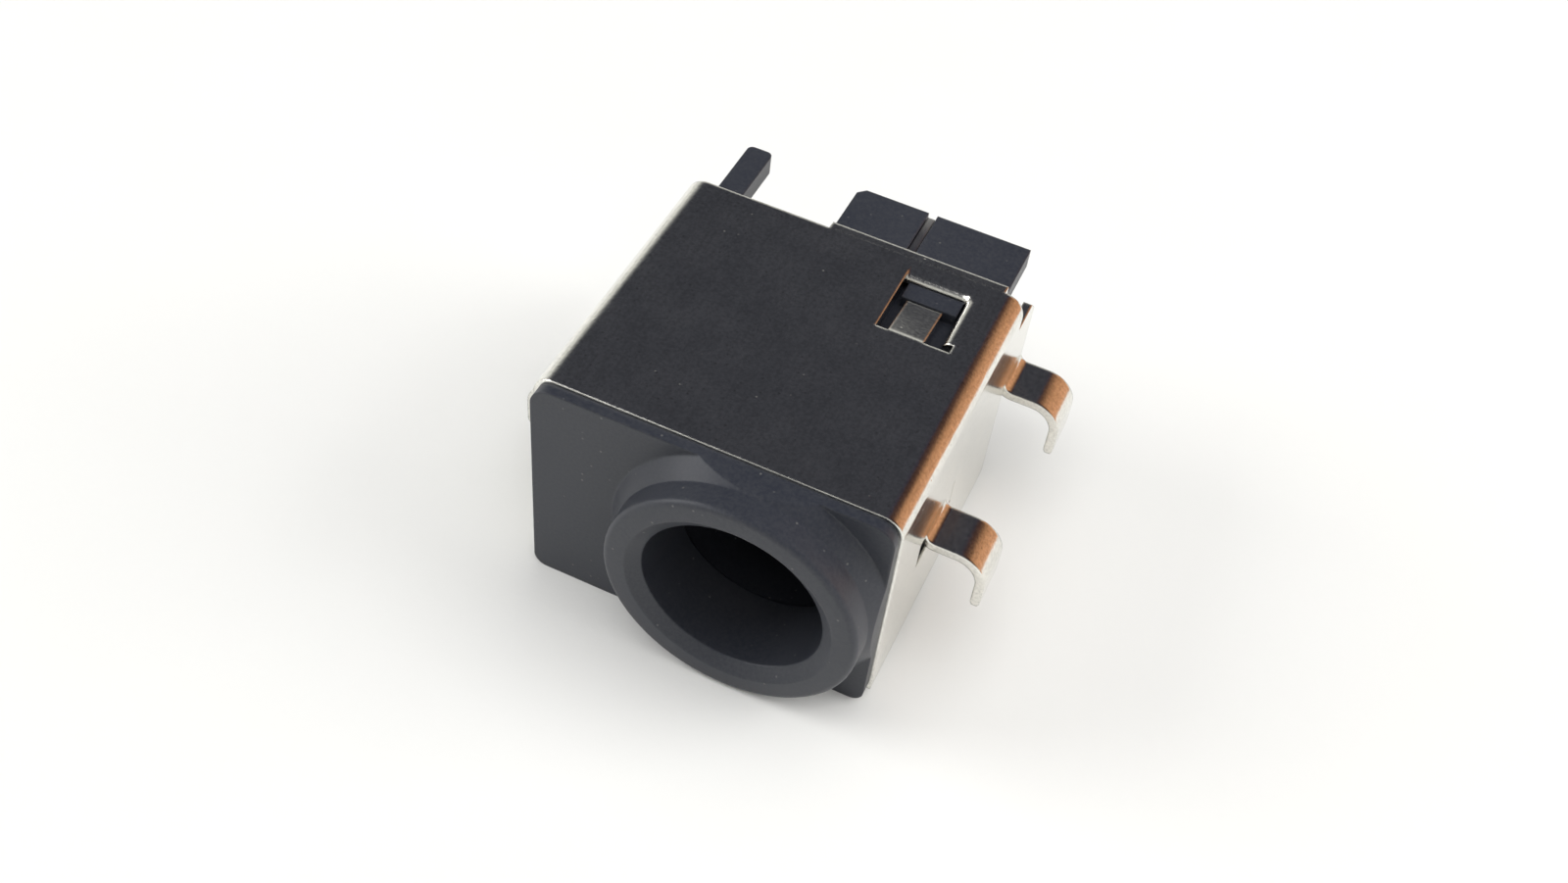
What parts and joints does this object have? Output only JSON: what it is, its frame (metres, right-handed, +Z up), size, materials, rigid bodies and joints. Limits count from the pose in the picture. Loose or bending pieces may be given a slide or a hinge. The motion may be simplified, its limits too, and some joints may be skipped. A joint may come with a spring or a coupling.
{
  "type": "dc barrel jack",
  "caption": "Board-mount DC barrel jack with an off-centre round nozzle, a folded sheet shield on gull legs, a centre pin and soldered terminals.",
  "frame": {"origin": "plug axis where it crosses the flange's front face", "axes": "-Y out of the plug bore, +Z up with the board under the leg shelves, +X right seen from the front"},
  "size_m": [0.0156, 0.0142, 0.0082],
  "materials": {
    "housing_plastic": "moulded, fine matt grain, sharp mould edges",
    "shield_metal": "nickel-plated sheet, dull rolled grain, bright cut edges",
    "pin_metal": "turned brass under nickel plate",
    "contact_metal": "tin-plated bronze strip"
  },
  "bodies": {
    "root": {"housing": "housing_plastic", "shield": "shield_metal", "centre_pin": "pin_metal", "centre_terminal": "contact_metal", "sleeve_contact": "contact_metal", "switch_contact": "contact_metal"}
  },
  "joints": []
}
